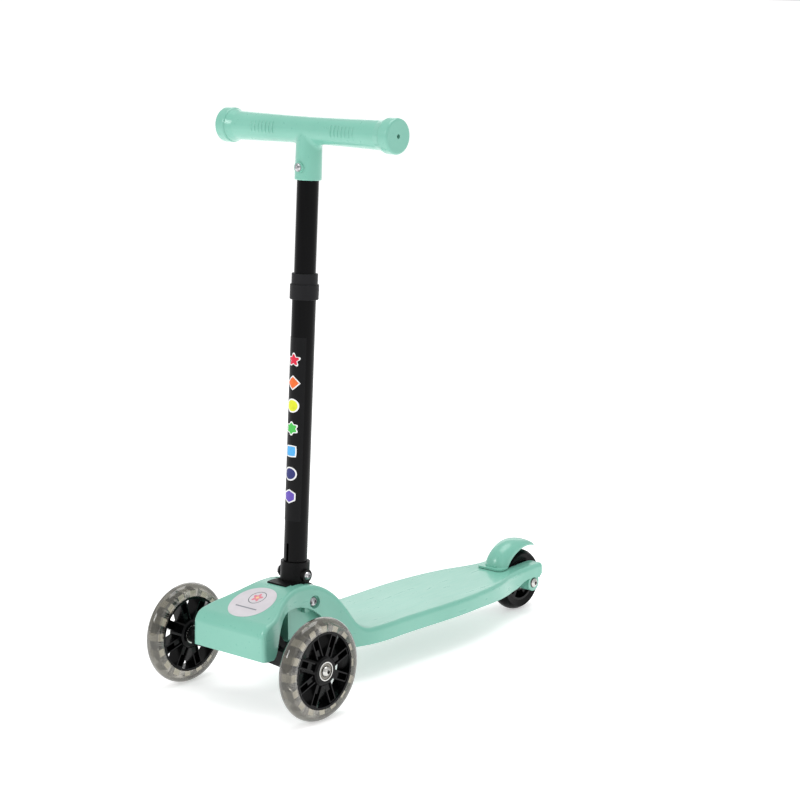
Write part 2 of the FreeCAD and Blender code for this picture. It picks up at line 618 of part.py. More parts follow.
def make_truck():
    arm = truck_arm()
    block = box(ARM_ROOT[0], ARM_ROOT[1], -ARM_ROOT_Y, ARM_ROOT_Y, ARM_ROOT[2], ARM_ROOT[3])
    gusset = Part.Face(Part.makePolygon([V(0, -44, 60), V(0, 44, 60), V(0, 16, 86),
                                         V(0, -16, 86), V(0, -44, 60)]))
    gusset = gusset.extrude(V(9, 0, 0))
    gusset.translate(V(FRONT_X - 24, 0, 0))
    boss = rod(KING_BASE, KING_DIR, TRUCK_BOSS_R, TRUCK_BOSS_LENGTH)
    truck = block.fuse(list(both_sides(arm)) + [gusset])
    slot_relief = box(FRONT_X - 60, FRONT_X - 30, -34, 34, 62.2, 90)
    truck = truck.cut(slot_relief).fuse(boss)
    bore = rod(KING_BASE - KING_DIR * 5, KING_DIR, KING_R + RUN, TRUCK_BOSS_LENGTH + 10)
    under = rod(KING_BASE - KING_DIR * 30, KING_DIR, 13.5, 30)
    top = rod(KING_BASE + KING_DIR * TRUCK_BOSS_LENGTH, KING_DIR, 30, 30)
    cuts = [bore, under, top]
    for shape in (axle_bolt(), axle_nut()):
        cuts += both_sides(shape)
    truck = truck.cut(cuts)
    save("truck", max(truck.Solids, key=lambda solid: solid.Volume))
    save("front_axle_bolts", Part.makeCompound(both_sides(axle_bolt())))
    save("front_axle_nuts", Part.makeCompound(both_sides(axle_nut())))
    sleeve_half = BOSS_HALF_WIDTH - BEARING_W - AXLE_GAP
    sleeve = pipe(V(FRONT_X, HALF_TRACK - sleeve_half, FRONT_R), Y_AXIS, WASHER_R, AXLE_BOLT_R,
                  2 * sleeve_half)
    washer_end = HALF_TRACK - BOSS_HALF_WIDTH - AXLE_GAP
    washer = pipe(V(FRONT_X, ARM_FACE_Y, FRONT_R), Y_AXIS, WASHER_R, AXLE_BOLT_R,
                  washer_end - ARM_FACE_Y)
    save("front_axle_spacers", Part.makeCompound(both_sides(sleeve) + both_sides(washer)))


def make_steering():
    washer_h = 1.6
    head = KING_BASE - KING_DIR * (washer_h + AXLE_GAP)
    washer = pipe(head, KING_DIR, 11.0, KING_R, washer_h)
    save("steering_washer", washer)
    save("steering_bolt", dome_bolt(head, KING_DIR, KING_R, KING_BOLT_LENGTH - 1, 7.0, 4.5, 2.6))
    save("steering_nut", king_nut())
    seat = KING_BASE + KING_DIR * (TRUCK_BOSS_LENGTH + AXLE_GAP)
    save("steering_bush", pipe(seat, KING_DIR, 12.5, KING_R, BUSH_LENGTH - AXLE_GAP))


# ------------------------------------------------------------------ rear axle and brake
def make_rear_axle():
    half = REAR_TYRE_HALF_WIDTH
    head = V(REAR_X, AXLE_SEAT_Y, REAR_R)
    nut = V(REAR_X, -AXLE_SEAT_Y, REAR_R)
    save("rear_axle_bolt", dome_bolt(head, -Y_AXIS, AXLE_BOLT_R, 2 * AXLE_SEAT_Y + 6, 6.8, 4.0))
    save("rear_axle_nut", hex_nut(nut, -Y_AXIS, NUT_ACROSS, AXLE_BOLT_R, 5.5))
    sleeve_half = half - BEARING_W - AXLE_GAP
    parts = [pipe(V(REAR_X, -sleeve_half, REAR_R), Y_AXIS, WASHER_R, AXLE_BOLT_R, 2 * sleeve_half)]
    washer = pipe(V(REAR_X, half + AXLE_GAP, REAR_R), Y_AXIS, WASHER_R, AXLE_BOLT_R,
                  WHEEL_SLOT_HALF - half - AXLE_GAP)
    save("rear_axle_spacers", Part.makeCompound(parts + list(both_sides(washer))))


BRAKE_TRAVEL = 3.5         # degrees, down onto the wheel


def fender_section(angle, root_r, crown_r, half_width, inset):
    """Arched section of the fender in the plane at angle round the rear axle."""
    centre = V(REAR_X, 0, REAR_R)
    radial = V(math.cos(math.radians(angle)), 0, math.sin(math.radians(angle)))
    width = half_width - inset
    height = max(crown_r - root_r - inset, 0.4)
    points = []
    for k in range(9):
        turn = math.pi * k / 8
        rise = root_r - inset * 0.4 + height * math.sin(turn) ** 0.8
        points.append(centre + radial * rise + Y_AXIS * (width * math.cos(turn)))
    curve = Part.BSplineCurve()
    curve.interpolate(points)
    return Part.Wire([curve.toShape(), Part.makeLine(points[-1], points[0])])


# Angle round the rear axle, radius of the skirt, radius of the crown, half-width.
FENDER_SECTIONS = [(18, 44.5, 53.6, 17.0), (30, 44.5, 58.4, 17.0), (42, 44.4, 60.6, 16.6),
                   (56, 44.4, 60.4, 16.2), (70, 44.6, 58.8, 16.0), (84, 45.6, 56.4, 15.8),
                   (98, 46.6, 54.4, 15.2), (110, 47.6, 53.4, 13.8), (120, 48.6, 53.2, 11.4),
                   (126.5, 50.0, 53.2, 7.5)]


FOOT_FRONT = 57.0          # the fender's foot covers the end of the wheel slot
FOOT_HALF = 19.3
FOOT_CORNER = 6.0
FOOT_TOP = 3.2


def make_fender():
    """Brake flap over the rear wheel, hinged on a pin at its front."""
    outer = Part.makeLoft([fender_section(*row, 0.0) for row in FENDER_SECTIONS], True, False)
    inner = Part.makeLoft([fender_section(*row, 2.6) for row in FENDER_SECTIONS], True, False)
    pad = box(REAR_X + 6, REAR_X + 20, -3, 3, REAR_R + 30, REAR_R + 62)
    pad = pad.common(outer).cut(rod(V(REAR_X, -5, REAR_R), Y_AXIS, REAR_R + 3.4, 10))
    knuckle = rod(V(FENDER_PIN_X, -8, FENDER_PIN_Z), Y_AXIS, 4.6, 16)
    web = box(FENDER_PIN_X - 2, FENDER_PIN_X + 4, -8, 8, FENDER_PIN_Z, 74).common(outer)
    stalk = box(FENDER_PIN_X - 2, FENDER_PIN_X + 3, -8, 8, FENDER_PIN_Z, DECK_TOP + 5)
    ground = under_top(-0.7, 40.0)
    swept = ground.copy()
    swept.rotate(V(FENDER_PIN_X, 0, FENDER_PIN_Z), Y_AXIS, BRAKE_TRAVEL)
    foot = box(REAR_X + 37, REAR_X + FOOT_FRONT, -FOOT_HALF, FOOT_HALF, 55, 80)
    foot = foot.makeFillet(FOOT_CORNER, [edge for edge in foot.Edges if edge.BoundBox.ZLength > 1])
    foot = foot.common(under_top(-FOOT_TOP, 40.0))
    shell = outer.cut(inner).fuse(foot).cut([ground, swept])
    flap = shell.fuse([pad, web.cut(ground), knuckle, stalk])
    flap = flap.cut(rod(V(FENDER_PIN_X, -20, FENDER_PIN_Z), Y_AXIS, 2.0 + RUN, 40))
    save("brake_fender", max(flap.Solids, key=lambda solid: solid.Volume))
    save("fender_pin", rod(V(FENDER_PIN_X, -16.3, FENDER_PIN_Z), Y_AXIS, 2.0, 32.6))
    spring = pipe(V(FENDER_PIN_X, 8.6, FENDER_PIN_Z), Y_AXIS, 4.0, 2.3, 4.2)
    save("fender_springs", Part.makeCompound(both_sides(spring)))


# ------------------------------------------------------------------ fold joint
PLATE_TOP_Z = 130.6
PLATE_H = 3.6
TUBE_S0 = 18.0
FOLD_BUTTON_R = 5.0
FOLD_SPRING = 2.9          # spring length with the button pressed
BUTTON_PROUD = 1.6         # the fold button stands this far out of the block
BOLT_BOSS_Y = 20.4         # ends of the boss across the sleeve
BOLT_BOSS_R = 7.6


def sleeve_bolt_hole(radius):
    return on_pole(rod(V(0, -40, SLEEVE_BOLT_S), Y_AXIS, radius, 80))


def make_stem_base():
    """Block that folds on the deck's bolt, with its cover plate and the pole's sleeve."""
    drum = rod(V(PIVOT_X, -BLOCK_HALF, PIVOT_Z), Y_AXIS, BLOCK_R, 2 * BLOCK_HALF)
    drum = drum.common(box(PIVOT_X - 40, PIVOT_X + 40, -40, 40, 60, PLATE_TOP_Z - 1))
    plate = box(PIVOT_X - 10, FRONT_X - SLOT_FRONT - 0.6, -PLATE_HALF, PLATE_HALF,
                PLATE_TOP_Z - PLATE_H, PLATE_TOP_Z)
    sleeve = on_pole(rod(V(0, 0, SLEEVE_S0 - 2), Z_AXIS, SLEEVE_R, SLEEVE_S1 - SLEEVE_S0 + 2))
    boss = on_pole(rod(V(0, -BOLT_BOSS_Y, SLEEVE_BOLT_S), Y_AXIS, BOLT_BOSS_R, 2 * BOLT_BOSS_Y))
    pocket = rod(V(PIVOT_X - 40, 0, PIVOT_Z), X_AXIS, FOLD_BUTTON_R + 0.2, 32.5)
    bore = on_pole(rod(V(0, 0, TUBE_S0), Z_AXIS, LOWER_TUBE_R, 60))
    base = drum.fuse([plate, sleeve, boss])
    base = base.cut([bore, sleeve_bolt_hole(3.0), pocket,
                     rod(V(PIVOT_X, -30, PIVOT_Z), Y_AXIS, FOLD_BOLT_R + RUN, 60)])
    save("stem_base", base)
    cap_x = PIVOT_X - BLOCK_R - BUTTON_PROUD
    button = rod(V(cap_x, 0, PIVOT_Z), X_AXIS, FOLD_BUTTON_R, 7.5)
    outer_rim = [edge for edge in button.Edges if edge.BoundBox.XMax < cap_x + 0.5]
    save("fold_button", button.makeFillet(1.2, outer_rim))
    spring = pipe(V(PIVOT_X - 7.6 - FOLD_SPRING, 0, PIVOT_Z), X_AXIS, 3.8, 2.6, FOLD_SPRING)
    save("fold_button_spring", spring)


def make_fold_bolt():
    head = V(PIVOT_X, FOLD_SEAT_Y, PIVOT_Z)
    nut = V(PIVOT_X, -FOLD_SEAT_Y, PIVOT_Z)
    length = 2 * FOLD_SEAT_Y + 4.4
    save("fold_bolt", dome_bolt(head, -Y_AXIS, FOLD_BOLT_R, length, 6.4, 3.6))
    save("fold_nut", hex_nut(nut, -Y_AXIS, NUT_ACROSS, FOLD_BOLT_R, 4.2))


# ------------------------------------------------------------------ pole
COLLAR_R = 16.85
COLLAR_TOP_R = 15.3
PAD_X = 20.3
BUTTON_S = 361.5
WAVE_SPRING = 1.1          # spring washer's height with the button pressed
HEIGHT_STEP = 50.0
PIN_R = 1.6
PIN_HOLE_R = 1.8
LABEL_S0 = 93.0
LABEL_S1 = 308.6
LABEL_HALF_ANGLE = 62.0


def make_lower_pole():
    tube = pipe(V(0, 0, TUBE_S0), Z_AXIS, LOWER_TUBE_R, LOWER_TUBE_BORE, COLLAR_S1 - 2 - TUBE_S0)
    pin_hole = rod(V(-40, 0, BUTTON_S), X_AXIS, PIN_HOLE_R, 30)
    slit = box(10, 20, -1.6, 1.6, SLEEVE_S1 + 1, SLEEVE_S1 + 22)
    tube = on_pole(tube.cut([pin_hole, slit]))
    save("lower_tube", tube.cut(sleeve_bolt_hole(3.0)))
    head = V(0, BOLT_BOSS_Y, SLEEVE_BOLT_S)
    bolt = dome_bolt(head, -Y_AXIS, 3.0, 2 * BOLT_BOSS_Y + 3.8, 4.9, 3.2, 1.9)
    save("sleeve_bolt", on_pole(bolt))
    nut = hex_nut(V(0, -BOLT_BOSS_Y, SLEEVE_BOLT_S), -Y_AXIS, 10.0, 3.0, 3.6)
    save("sleeve_nut", on_pole(nut))
    wedge = Part.Face(Part.makePolygon(
        [V(0, 0, 0), V(30, -30 * math.tan(math.radians(LABEL_HALF_ANGLE)), 0),
         V(30, 30 * math.tan(math.radians(LABEL_HALF_ANGLE)), 0), V(0, 0, 0)]))
    wedge = wedge.extrude(V(0, 0, LABEL_S1 - LABEL_S0))
    wedge.translate(V(0, 0, LABEL_S0))
    skin = pipe(V(0, 0, LABEL_S0), Z_AXIS, LOWER_TUBE_R + 0.25, LOWER_TUBE_R,
                LABEL_S1 - LABEL_S0)
    save("pole_label", on_pole(skin.common(wedge)))


def make_collar():
    """Collar on top of the lower tube, with the height lock in a pad at its back."""
    lower = rod(V(0, 0, COLLAR_S0), Z_AXIS, COLLAR_R, COLLAR_STEP_S - COLLAR_S0)
    lower = lower.makeFillet(0.8, [edge for edge in lower.Edges if edge.Closed])
    pad = box(-PAD_X, 0, -4.3, 4.3, BUTTON_S - 5.5, BUTTON_S + 5.5)
    pocket = rod(V(-40, 0, BUTTON_S), X_AXIS, 3.2, 24.2)
    pin_hole = rod(V(-40, 0, BUTTON_S), X_AXIS, PIN_HOLE_R, 30)
    tube_space = rod(V(0, 0, COLLAR_S0 - 1), Z_AXIS, LOWER_TUBE_R, 40)
    collar = lower.fuse(pad).cut([pocket, pin_hole, tube_space])
    save("collar_clamp", on_pole(collar))
    upper = rod(V(0, 0, COLLAR_STEP_S), Z_AXIS, COLLAR_TOP_R, COLLAR_S1 - COLLAR_STEP_S)
    rim = [edge for edge in upper.Edges if edge.Closed and edge.BoundBox.ZMin > COLLAR_S1 - 1]
    upper = upper.makeFillet(0.8, rim)
    guide = rod(V(0, 0, COLLAR_STEP_S - 1), Z_AXIS, LOWER_TUBE_R, COLLAR_S1 - COLLAR_STEP_S - 1)
    bore = rod(V(0, 0, COLLAR_STEP_S - 1), Z_AXIS, UPPER_TUBE_R + 0.08, 40)
    save("collar_bush", on_pole(upper.cut([guide, bore])))
    head = rod(V(-22.0, 0, BUTTON_S), X_AXIS, 3.0, 3.4)
    pin = rod(V(-19.0, 0, BUTTON_S), X_AXIS, PIN_R, 3.1)
    save("height_button", on_pole(head.fuse(pin).removeSplitter()))
    spring = pipe(V(-15.85 - WAVE_SPRING, 0, BUTTON_S), X_AXIS, 2.8, 1.9, WAVE_SPRING)
    save("height_button_spring", on_pole(spring))


def make_upper_tube():
    tube = pipe(V(0, 0, UPPER_TUBE_S0), Z_AXIS, UPPER_TUBE_R, UPPER_TUBE_BORE,
                UPPER_TUBE_S1 - UPPER_TUBE_S0)
    holes = [rod(V(-40, 0, BUTTON_S + k * HEIGHT_STEP), X_AXIS, PIN_HOLE_R, 35)
             for k in range(3)]
    holes.append(rod(V(5, 0, NECK_SCREW_S), X_AXIS, 2.5, 20))
    save("upper_tube", on_pole(tube.cut(holes)))


def bar_outline(radius_mid, radius_end, half):
    """Solid of revolution about the bar's axis, with a slight waist."""
    centre = V(0, 0, BAR_S)
    waist = Part.BSplineCurve()
    neck = half - FLARE_LENGTH
    waist.interpolate([V(radius_end, -neck, BAR_S), V(radius_mid + 0.5, -neck / 2, BAR_S),
                       V(radius_mid, 0, BAR_S), V(radius_mid + 0.5, neck / 2, BAR_S),
                       V(radius_end, neck, BAR_S)])
    corners = [V(radius_end, neck, BAR_S), V(FLARE_R, half, BAR_S), V(0, half, BAR_S),
               V(0, -half, BAR_S), V(FLARE_R, -half, BAR_S), V(radius_end, -neck, BAR_S)]
    face = Part.Face(Part.Wire([waist.toShape()] + list(Part.makePolygon(corners).Edges)))
    return face.revolve(centre, Y_AXIS, 360)


NECK_BOSS_R = 6.3          # boss under the neck's screw
NECK_BOSS_X = 17.3


def make_handlebar():
    """Moulded T: neck over the upper tube, and a hollow bar across it."""
    tube_half = BAR_HALF - FLANGE_LENGTH
    bar = bar_outline(15.3, 16.7, tube_half)
    neck = Part.makeCone(15.7, 15.0, BAR_S - NECK_S, V(0, 0, NECK_S), Z_AXIS)
    body = bar.fuse(neck)
    joint = [edge for edge in body.Edges
             if edge.BoundBox.ZMin > BAR_S - 17 and edge.BoundBox.ZMax < BAR_S + 1
             and edge.BoundBox.YLength > 10 and edge.BoundBox.YLength < 40]
    body = body.makeFillet(7.0, joint)
    lip = [edge for edge in body.Edges if edge.Closed and edge.BoundBox.ZMax < NECK_S + 1]
    body = body.makeFillet(1.5, lip)
    hollow = rod(V(0, -tube_half, BAR_S), Y_AXIS, 12.2, 2 * tube_half)
    hollow = hollow.cut(rod(V(0, 0, NECK_S), Z_AXIS, 14.9, 50))
    socket = rod(V(0, 0, NECK_S - 1), Z_AXIS, UPPER_TUBE_R, UPPER_TUBE_S1 - NECK_S + 1)
    screw_hole = rod(V(5, 0, NECK_SCREW_S), X_AXIS, 2.5, 20)
    boss = rod(V(13, 0, NECK_SCREW_S), X_AXIS, NECK_BOSS_R, NECK_BOSS_X - 13)
    save("handlebar", on_pole(body.fuse(boss).cut([hollow, socket, screw_hole])))
    washer = pipe(V(NECK_BOSS_X, 0, NECK_SCREW_S), X_AXIS, 4.8, 2.5, 0.8)
    save("neck_washer", on_pole(washer))
    screw = dome_bolt(V(NECK_BOSS_X + 0.8, 0, NECK_SCREW_S), -X_AXIS, 2.5, 10.0, 4.0, 2.8, 1.6)
    save("neck_screw", on_pole(screw))
    cap = rod(V(0, tube_half, BAR_S), Y_AXIS, FLANGE_R, FLANGE_LENGTH)
    cap = cap.makeFillet(2.6, [edge for edge in cap.Edges if edge.Closed])
    spigot = rod(V(0, tube_half - 12, BAR_S), Y_AXIS, 12.2, 14)
    drill = rod(V(0, tube_half - 20, BAR_S), Y_AXIS, CAP_HOLE_R, 60)
    cap = cap.fuse(spigot).cut(drill)
    save("grip_end_caps", on_pole(Part.makeCompound(both_sides(cap))))


# ------------------------------------------------------------------ badge
BADGE_X = FRONT_X - 4.0
BADGE_R = 28.3


def make_badge():
    """Thin round badge lying on the hood."""
    disc = rod(V(BADGE_X, 0, 60), Z_AXIS, BADGE_R, 90)
    skin = under_top(-0.35, 20.0).common(disc).cut(under_top(0.0, 20.0))
    save("hood_badge", max(skin.Solids, key=lambda solid: solid.Volume))


os.makedirs("parts", exist_ok=True)
save("deck", make_deck())
make_badge()
make_steering()
make_truck()
make_front_wheel(1, -25.0)
make_front_wheel(-1, -29.0)
make_rear_wheel()
make_rear_axle()
make_fender()
make_stem_base()
make_fold_bolt()
make_lower_pole()
make_collar()
make_upper_tube()
make_handlebar()
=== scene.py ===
import math

import bpy
from mathutils import Matrix, Vector


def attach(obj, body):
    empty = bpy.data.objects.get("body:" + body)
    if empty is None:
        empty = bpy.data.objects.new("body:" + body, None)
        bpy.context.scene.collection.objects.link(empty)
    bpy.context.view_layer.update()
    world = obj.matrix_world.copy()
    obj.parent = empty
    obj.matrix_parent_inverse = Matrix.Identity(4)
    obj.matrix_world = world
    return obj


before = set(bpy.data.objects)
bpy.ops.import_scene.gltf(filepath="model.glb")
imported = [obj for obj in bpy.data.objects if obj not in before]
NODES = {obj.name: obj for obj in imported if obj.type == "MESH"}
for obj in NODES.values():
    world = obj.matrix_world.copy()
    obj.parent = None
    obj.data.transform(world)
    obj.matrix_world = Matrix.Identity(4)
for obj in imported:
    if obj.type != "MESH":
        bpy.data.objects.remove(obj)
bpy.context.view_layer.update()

# ------------------------------------------------------------------ places, in metres
POLE_FOOT = Vector((0.164, 0.0, 0.108))      # fold bolt, where distances up the pole start
POLE_LEAN = math.radians(3.48)
LABEL_RADIUS = 0.01425                       # outer face of the label on the lower tube
MARK_HALF = 0.0088                           # half-height of a coloured mark
MARK_FIRST = 0.1222                          # lowest mark, distance up the pole
MARK_PITCH = 0.0267
BAR_DISTANCE = 0.5457                        # handlebar's axis, distance up the pole
BAR_RADIUS = 0.0155
BAR_GROWTH = 0.0005                          # extra radius at each end of the bar's taper
BAR_TAPER = 0.0596                           # length of that taper from the bar's middle
RIDGE_CENTRES = (-0.062, 0.062)              # grip ridges, distance along the bar
BADGE_CENTRE = Vector((0.2335, 0.0, 0.11))
FRONT_WHEEL = Vector((0.2375, 0.1074, 0.06))
REAR_WHEEL = Vector((-0.2575, 0.0, 0.04))
CAMERA_AT = Vector((2.0153, 1.7742, 0.8582))
CAMERA_AZIMUTH = math.radians(40.996)
CAMERA_ELEVATION = math.radians(11.352)
CAMERA_LENS = 101.7                          # millimetres, on a sensor 36 mm wide


def srgb(red, green, blue):
    """Linear colour from the 0-255 values a screen shows."""
    channels = []
    for value in (red, green, blue):
        value /= 255
        channels.append(value / 12.92 if value <= 0.04045 else ((value + 0.055) / 1.055) ** 2.4)
    return (*channels, 1.0)


MINT = srgb(125, 191, 172)
MINT_DEEP = srgb(118, 185, 166)
BLACK = srgb(9, 9, 10)
BLACK_LIGHT = srgb(15, 15, 16)


# ------------------------------------------------------------------ node graphs
class Graph:
    """A material's node tree, with one-line helpers for the nodes used here."""

    def __init__(self, name):
        self.material = bpy.data.materials.new(name)
        self.material.use_nodes = True
        self.tree = self.material.node_tree
        self.shader = self.tree.nodes["Principled BSDF"]
        self.place = self.add("ShaderNodeTexCoord").outputs["Object"]

    def add(self, kind, **settings):
        node = self.tree.nodes.new(kind)
        for key, value in settings.items():
            setattr(node, key, value)
        return node

    def join(self, source, socket):
        self.tree.links.new(source, socket)

    def put(self, **values):
        """Set constants on the shader: words joined with _ name the socket."""
        for key, value in values.items():
            self.shader.inputs[key.replace("_", " ")].default_value = value

    def noise(self, scale, detail=2.0, stretch=(1, 1, 1), roughness=0.5):
        """Noise in object space, as a 0-1 value."""
        mapping = self.add("ShaderNodeMapping")
        mapping.inputs["Scale"].default_value = stretch
        self.join(self.place, mapping.inputs["Vector"])
        noise = self.add("ShaderNodeTexNoise")
        noise.inputs["Scale"].default_value = scale
        noise.inputs["Detail"].default_value = detail
        noise.inputs["Roughness"].default_value = roughness
        self.join(mapping.outputs["Vector"], noise.inputs["Vector"])
        return noise.outputs["Fac"]

    def ramp(self, value, stops):
        """Colours or greys at places along a 0-1 value."""
        ramp = self.add("ShaderNodeValToRGB")
        elements = ramp.color_ramp.elements
        while len(elements) < len(stops):
            elements.new(0.5)
        for element, (place, colour) in zip(elements, stops):
            element.position = place
            element.color = colour if isinstance(colour, tuple) else (colour, colour, colour, 1)
        self.join(value, ramp.inputs["Fac"])
        return ramp.outputs["Color"]

    def math(self, operation, first, second=None):
        """One Math node; each of first and second is a number or a socket."""
        node = self.add("ShaderNodeMath", operation=operation)
        for socket, value in zip(node.inputs, (first, second)):
            if value is None:
                continue
            if isinstance(value, (int, float)):
                socket.default_value = value
            else:
                self.join(value, socket)
        return node.outputs["Value"]

    def mix(self, amount, first, second):
        """Blend of two colours, each a tuple or a socket."""
        node = self.add("ShaderNodeMix", data_type="RGBA")
        self.join(amount, node.inputs["Factor"])
        for socket, value in ((node.inputs[6], first), (node.inputs[7], second)):
            if isinstance(value, tuple):
                socket.default_value = value
            else:
                self.join(value, socket)
        return node.outputs[2]

    def axis(self, index):
        """One coordinate of the object-space place."""
        split = self.add("ShaderNodeSeparateXYZ")
        self.join(self.place, split.inputs["Vector"])
        return split.outputs[index]

    def bump(self, height, distance, under=None):
        """Raise the surface by distance where height is 1, over another bump if given."""
        node = self.add("ShaderNodeBump")
        node.inputs["Distance"].default_value = distance
        node.inputs["Strength"].default_value = 1.0
        self.join(height, node.inputs["Height"])
        if under is not None:
            self.join(under, node.inputs["Normal"])
        self.join(node.outputs["Normal"], self.shader.inputs["Normal"])
        return node.outputs["Normal"]


def moulded(name, dark, light, roughness, grain=0.00004, coat=0.0, subsurface=0.0, shine=0.5):
    """Injection-moulded plastic: cloudy colour, fine grain and faint rubbed streaks."""
    g = Graph(name)
    cloud = g.noise(14, detail=3)
    g.join(g.ramp(cloud, [(0.3, dark), (0.7, light)]), g.shader.inputs["Base Color"])
    streaks = g.noise(160, detail=4, stretch=(0.12, 1, 1), roughness=0.7)
    low, high = roughness - 0.05, roughness + 0.09
    g.join(g.ramp(streaks, [(0.35, low), (0.75, high)]), g.shader.inputs["Roughness"])
    g.bump(g.noise(1500, detail=2), grain)
    g.put(Coat_Weight=coat, Coat_Roughness=0.12, Subsurface_Weight=subsurface,
          Specular_IOR_Level=shine)
    g.shader.inputs["Subsurface Radius"].default_value = (0.003, 0.004, 0.0035)
    return g.material


def painted(name, colour, light, roughness):
    """Gloss paint over a drawn tube: orange peel, and faint marks along the tube."""
    g = Graph(name)
    peel = g.noise(420, detail=1)
    lines = g.noise(300, detail=3, stretch=(1, 1, 0.05))
    g.join(g.ramp(lines, [(0.3, colour), (0.8, light)]), g.shader.inputs["Base Color"])
    g.join(g.ramp(lines, [(0.3, roughness), (0.9, roughness + 0.14)]),
           g.shader.inputs["Roughness"])
    g.bump(peel, 0.00003)
    g.put(Coat_Weight=0.02, Coat_Roughness=0.06, Specular_IOR_Level=0.1)
    return g.material


def plated(name, colour, tarnish, roughness):
    """Bright plated steel with turned lines and a little dullness."""
    g = Graph(name)
    dull = g.noise(260, detail=4)
    g.join(g.ramp(dull, [(0.35, tarnish), (0.6, colour)]), g.shader.inputs["Base Color"])
    g.join(g.ramp(dull, [(0.3, roughness + 0.2), (0.7, roughness)]),
           g.shader.inputs["Roughness"])
    g.bump(g.noise(1800, detail=1, stretch=(1, 0.2, 1)), 0.00002)
    g.put(Metallic=1.0)
    return g.material


def axle_reach(g, wheel):
    """Distance from a wheel's axle."""
    ahead = g.math("SUBTRACT", g.axis(0), wheel.x)
    above = g.math("SUBTRACT", g.axis(2), wheel.z)
    return g.math("SQRT", g.math("ADD", g.math("MULTIPLY", ahead, ahead),
                                 g.math("MULTIPLY", above, above)))


SMOKE_START = 0.872              # share of the wheel's radius where the smoky crown begins
SMOKE_FULL = 0.925
SEAM_HALF_WIDTH = 0.00022


def clear_tyre():
    """Clear polyurethane, smoky in the thick crown, with flow haze, a parting line and scuffs."""
    g = Graph("clear_polyurethane")
    haze = g.noise(46, detail=4)
    wall = g.ramp(haze, [(0.3, srgb(142, 139, 131)), (0.75, srgb(164, 161, 153))])
    crown = g.ramp(haze, [(0.3, srgb(90, 88, 80)), (0.75, srgb(114, 111, 102))])
    share = g.math("MULTIPLY", axle_reach(g, FRONT_WHEEL), 1 / FRONT_WHEEL.z)
    smoke = g.ramp(share, [(SMOKE_START, 0.0), (SMOKE_FULL, 1.0)])
    g.join(g.mix(smoke, wall, crown), g.shader.inputs["Base Color"])
    g.join(g.ramp(share, [(SMOKE_START, 0.97), (SMOKE_FULL, 0.48)]),
           g.shader.inputs["Transmission Weight"])
    g.join(g.ramp(g.noise(220, detail=5), [(0.4, 0.01), (0.8, 0.07)]),
           g.shader.inputs["Roughness"])
    across = g.math("ABSOLUTE", g.axis(1))
    seam = g.math("ABSOLUTE", g.math("SUBTRACT", across, FRONT_WHEEL.y))
    line = g.math("LESS_THAN", seam, SEAM_HALF_WIDTH)
    fine = g.bump(g.noise(900, detail=2), 0.00002)
    g.bump(line, 0.00015, under=fine)
    g.put(IOR=1.3, Coat_Weight=0.9, Coat_Roughness=0.04)
    return g.material


def light_module():
    """White light housings, a little mottled, with a painted glow standing in for light that the
    clear tyre keeps from them.
    """
    g = Graph("light_module")
    g.join(g.ramp(g.noise(380, detail=3), [(0.3, srgb(226, 224, 212)),
                                           (0.7, srgb(248, 247, 240))]),
           g.shader.inputs["Base Color"])
    g.bump(g.noise(700, detail=2), 0.00006)
    # Emission is a painted glow, not a lamp: it stands in for the light that the clear tyre keeps
    # from the housings.
    g.put(Roughness=0.42, Emission_Strength=1.0)
    g.shader.inputs["Emission Color"].default_value = srgb(255, 252, 240)
    return g.material


BEARING_REACH = 0.012            # the bands' shares are of this distance from the axle


def wheel_metal(name, wheel):
    """Bolt head, shield and races of a wheel's middle: bands by distance from its axle, with
    painted shade as dark bands in the bolt's socket and in the gaps between the parts.
    """
    g = Graph(name)
    share = g.math("MULTIPLY", axle_reach(g, wheel), 1 / BEARING_REACH)
    # The darkest colour is painted shade, for the bolt's socket and the gaps between bolt head,
    # shield and race.
    bright, grey, painted_gap_shade = srgb(205, 204, 200), srgb(122, 119, 112), srgb(34, 33, 31)
    bands = [(0.17, painted_gap_shade), (0.2, bright), (0.485, bright), (0.5, painted_gap_shade), (0.54, painted_gap_shade),
             (0.56, grey), (0.76, grey), (0.775, painted_gap_shade), (0.8, painted_gap_shade), (0.82, bright)]
    g.join(g.ramp(share, bands), g.shader.inputs["Base Color"])
    dull = g.noise(260, detail=4)
    g.join(g.ramp(dull, [(0.3, 0.34), (0.7, 0.2)]), g.shader.inputs["Roughness"])
    g.bump(g.noise(1800, detail=1), 0.00002)
    g.put(Metallic=0.9)
    return g.material


MOTIF_BACK = 0.0085              # places on the badge, from its middle
BAR_FRONT = 0.0105
BADGE_BAR_HALF = (0.0009, 0.0165)
PETAL_REACH = 0.0056
PETAL_WAVE = 0.0017
HEART_RADIUS = 0.0021
RING_RADIUS = 0.0104
RING_HALF_WIDTH = 0.00045


